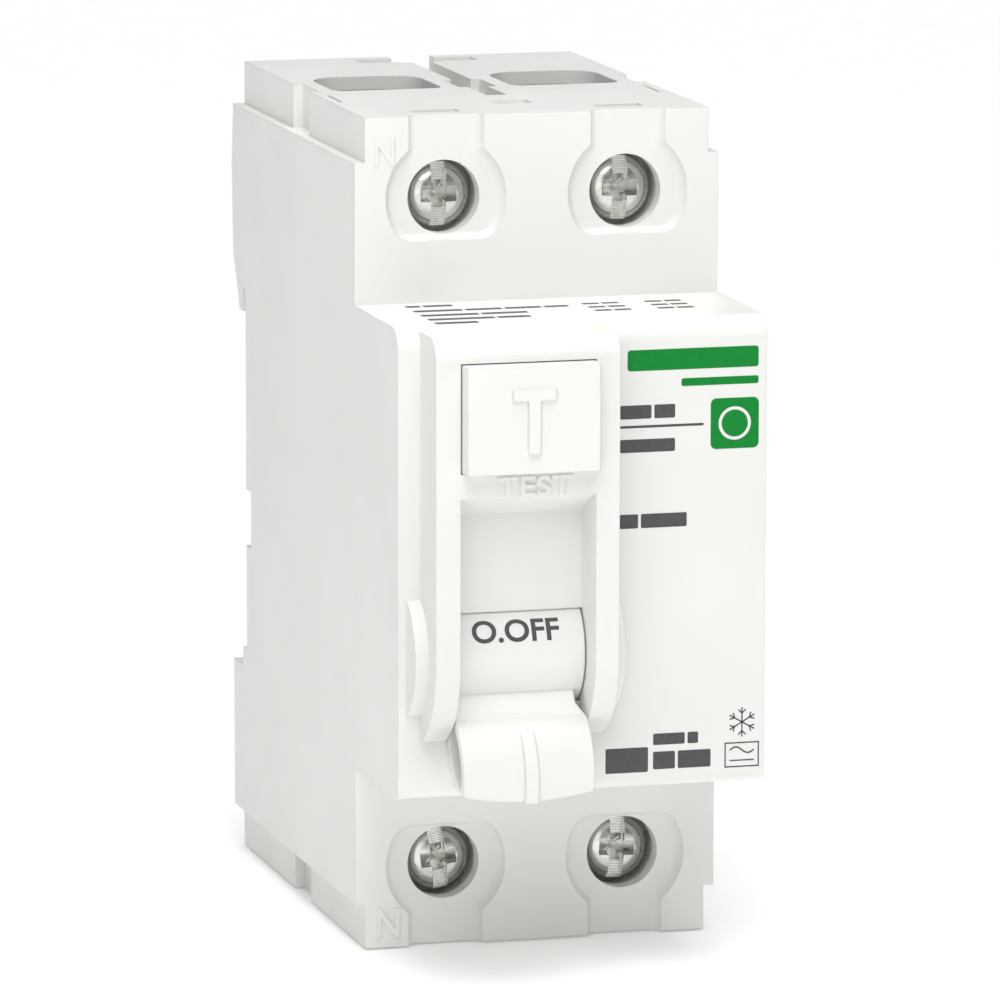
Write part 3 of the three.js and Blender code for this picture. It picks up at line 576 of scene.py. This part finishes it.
def word_bars(x0, x1, y0, y1, shares):
    """Plain bars that stand in for a line of print: shares are the lengths of its words."""
    gap = 0.28
    usable = (x1 - x0) - gap * (len(shares) - 1)
    loops = []
    at = x0
    for share in shares:
        length = usable * share / sum(shares)
        loops.append(rounded(at, at + length, y0, y1, min(0.14, (y1 - y0) / 2.2), 3))
        at += length + gap
    return loops


def printed(name, loops, material, lift=PRINT_LIFT):
    """Flat print on the front of the nose."""
    mesh = outline_mesh(loops, name)
    mesh.transform(FACING_FRONT)
    mesh.transform(Matrix.Translation((0, NOSE_Y - lift * MM, 0)))
    placed(name, mesh, "housing", material)


printed("brand_bar", [rounded(4.3, 17.2, 17.6, 19.6, 0.3), rounded(9.6, 17.2, 16.0, 16.75, 0.2)], INK_GREEN)
printed(
    "range_bars",
    [
        *word_bars(3.6, 9.0, 13.05, 14.35, (3, 2)),
        stroke(3.6, 12.3, 11.8, 12.3, 0.24),
        *word_bars(3.6, 9.0, 9.85, 11.1, (1,)),
        *word_bars(3.6, 10.2, 2.6, 3.95, (2, 5)),
    ],
    INK_GREY,
)
printed("green_tile", [rounded(12.5, 17.25, 9.85, 14.7, 0.55)], INK_GREEN)


def circle(cx, cy, radius, steps):
    """Points right round a circle, ending where they start."""
    turns = [2 * math.pi * i / steps for i in range(steps + 1)]
    return [(cx + radius * math.cos(t), cy + radius * math.sin(t)) for t in turns]


TILE_MIDDLE = (14.875, 12.275)
RING_R = 1.45
printed("tile_ring", ribbon(circle(*TILE_MIDDLE, RING_R, 32), 0.3), INK_WHITE, lift=0.02)


printed(
    "rating_bars",
    [
        *word_bars(2.3, 6.5, -20.9, -18.5, (1,)),
        *word_bars(7.0, 11.45, -18.35, -17.25, (3, 1)),
        *word_bars(7.0, 12.7, -20.7, -19.0, (2, 3)),
    ],
    INK_GREY,
)


def snow_loops(cx, cy, size, width):
    """A plain six-armed snow crystal."""
    loops = []
    for i in range(6):
        turn = math.pi / 6 + i * math.pi / 3
        tip = (cx + size * math.cos(turn), cy + size * math.sin(turn))
        loops.append(stroke(cx, cy, *tip, width))
        fork = (cx + size * 0.6 * math.cos(turn), cy + size * 0.6 * math.sin(turn))
        for side in (-1, 1):
            out = turn + side * math.pi / 4
            reach = size * 0.36
            twig = (fork[0] + reach * math.cos(out), fork[1] + reach * math.sin(out))
            loops.append(stroke(*fork, *twig, width))
    return loops


def wave_loops(x0, x1, y, height, width):
    """One turn of a wave."""
    points = [(x0 + (x1 - x0) * i / 20, y + height * math.sin(2 * math.pi * i / 20)) for i in range(21)]
    return ribbon(points, width)


SIGN_LINE = 0.13
printed(
    "sign_print",
    [
        *snow_loops(15.8, -16.55, 1.42, SIGN_LINE),
        stroke(14.1, -18.55, 17.5, -18.55, SIGN_LINE),
        stroke(14.1, -20.85, 17.5, -20.85, SIGN_LINE),
        stroke(14.15, -18.5, 14.15, -20.9, SIGN_LINE),
        stroke(17.45, -18.5, 17.45, -20.9, SIGN_LINE),
        *wave_loops(14.6, 17.0, -19.25, 0.3, 0.15),
        stroke(14.6, -20.25, 17.0, -20.25, SIGN_LINE),
    ],
    INK_GREY,
)

# Small print on the top of the nose, as plain bars: each row is (first x, last x, y, shares of its words).
TOP_ROWS = (
    (-13.6, -9.0, -46.2, (1, 2)),
    (-13.6, 1.6, -49.2, (4, 3, 3, 2)),
    (-13.6, -3.2, -52.0, (5, 4)),
    (-13.6, -3.6, -54.6, (6, 3)),
    (-13.6, -9.4, -57.0, (1,)),
)
ROW_HALF = 0.55
# Two marks right of the rows, each as three short rows of two bars.
MARK_COLUMNS = (3.2, 9.4)
MARK_ROWS = (-48.4, -50.6, -52.8)
MARK_WIDTH = 3.6
MARK_HALF = 0.45


def lay_on_top(bm, loops):
    """Adds each loop of (x, y) points, in millimetres, as a face just above the top of the nose."""
    z = NOSE_TOP_Z + PRINT_LIFT * MM
    for loop in loops:
        bm.faces.new([bm.verts.new((x * MM, y * MM, z)) for x, y in loop])


top = bmesh.new()
for x0, x1, y, shares in TOP_ROWS:
    lay_on_top(top, word_bars(x0, x1, y - ROW_HALF, y + ROW_HALF, shares))
for x0 in MARK_COLUMNS:
    for y in MARK_ROWS:
        lay_on_top(top, word_bars(x0, x0 + MARK_WIDTH, y - MARK_HALF, y + MARK_HALF, (1, 1)))
placed("small_print", mesh_of(top, "small_print"), "housing", INK_GREY)


# ---------------------------------------------------------------- stage, light and camera
FLOOR_SIZE = 12
FLOOR_GAP = 0.2 * MM
FLOOR = plastic("pale_floor", (0.95, 0.95, 0.945), roughness=0.7, grain=0.02, vary=0.004, grain_scale=300)
floor_shader = FLOOR.node_tree.nodes["Principled BSDF"]
floor_shader.inputs["Emission Color"].default_value = (1, 1, 1, 1)
floor_shader.inputs["Emission Strength"].default_value = 0.15
grid = bmesh.new()
bmesh.ops.create_grid(grid, x_segments=1, y_segments=1, size=FLOOR_SIZE / 2)
floor = bpy.data.objects.new("floor", mesh_of(grid, "floor"))
bpy.context.scene.collection.objects.link(floor)
floor.location = (0, 0, cad_box[0].z - FLOOR_GAP)
floor.data.materials.append(FLOOR)

world = bpy.data.worlds.new("studio")
bpy.context.scene.world = world
world.use_nodes = True
background = world.node_tree.nodes["Background"]
background.inputs["Color"].default_value = (1.0, 1.0, 0.995, 1)
background.inputs["Strength"].default_value = 0.25


LIGHT_TARGET = Vector((0, -0.05, 0))
FAR_LIGHT_SPREAD = math.radians(45)


def softbox(name, place, size, power):
    """A square soft light that faces the device and is not seen itself."""
    lamp = bpy.data.lights.new(name, "AREA")
    lamp.shape = "RECTANGLE"
    lamp.size = size
    lamp.size_y = size
    lamp.energy = power
    obj = bpy.data.objects.new(name, lamp)
    bpy.context.scene.collection.objects.link(obj)
    obj.location = place
    obj.rotation_euler = (LIGHT_TARGET - Vector(place)).to_track_quat("-Z", "Y").to_euler()
    obj.visible_camera = False


def far_light(name, azimuth, elevation, strength):
    """A wide soft light from far away: azimuth 0 is in front, and positive towards the device's right."""
    lamp = bpy.data.lights.new(name, "SUN")
    lamp.energy = strength
    lamp.angle = FAR_LIGHT_SPREAD
    obj = bpy.data.objects.new(name, lamp)
    bpy.context.scene.collection.objects.link(obj)
    around, above = math.radians(azimuth), math.radians(elevation)
    level = math.cos(above)
    towards = Vector((math.sin(around) * level, -math.cos(around) * level, math.sin(above)))
    obj.rotation_euler = (-towards).to_track_quat("-Z", "Y").to_euler()


softbox("key_light", (0, -0.4, 0.37), size=0.35, power=0.22)
softbox("near_light", (-0.06, -0.18, 0.15), size=0.14, power=0.165)
softbox("front_light", (-0.35, -0.94, 0.1), size=0.4, power=0.5)
far_light("ceiling_light", azimuth=0, elevation=85, strength=2.15)

CAMERA_PLACE = Vector((-0.20335, -0.76423, 0.13236))
FOCAL_LENGTH = 284.66
SENSOR_WIDTH = 36
CLIP_NEAR = 0.05
CLIP_FAR = 30

# Yaw turns the camera towards +X, pitch tips it down and roll turns the picture.
yaw, pitch, roll = (math.radians(a) for a in (15.498, 9.818, 0.106))
forward = Vector((math.sin(yaw) * math.cos(pitch), math.cos(yaw) * math.cos(pitch), -math.sin(pitch)))
level_right = Vector((math.cos(yaw), -math.sin(yaw), 0))
level_up = level_right.cross(forward)
right = level_right * math.cos(roll) + level_up * math.sin(roll)
up = level_up * math.cos(roll) - level_right * math.sin(roll)
lens = bpy.data.cameras.new("camera")
lens.lens = FOCAL_LENGTH
lens.sensor_width = SENSOR_WIDTH
lens.clip_start = CLIP_NEAR
lens.clip_end = CLIP_FAR
camera = bpy.data.objects.new("camera", lens)
bpy.context.scene.collection.objects.link(camera)
facing = Matrix((right, up, -forward)).transposed().to_4x4()
camera.matrix_world = Matrix.Translation(CAMERA_PLACE) @ facing
bpy.context.scene.camera = camera
bpy.context.scene.view_settings.view_transform = "Standard"
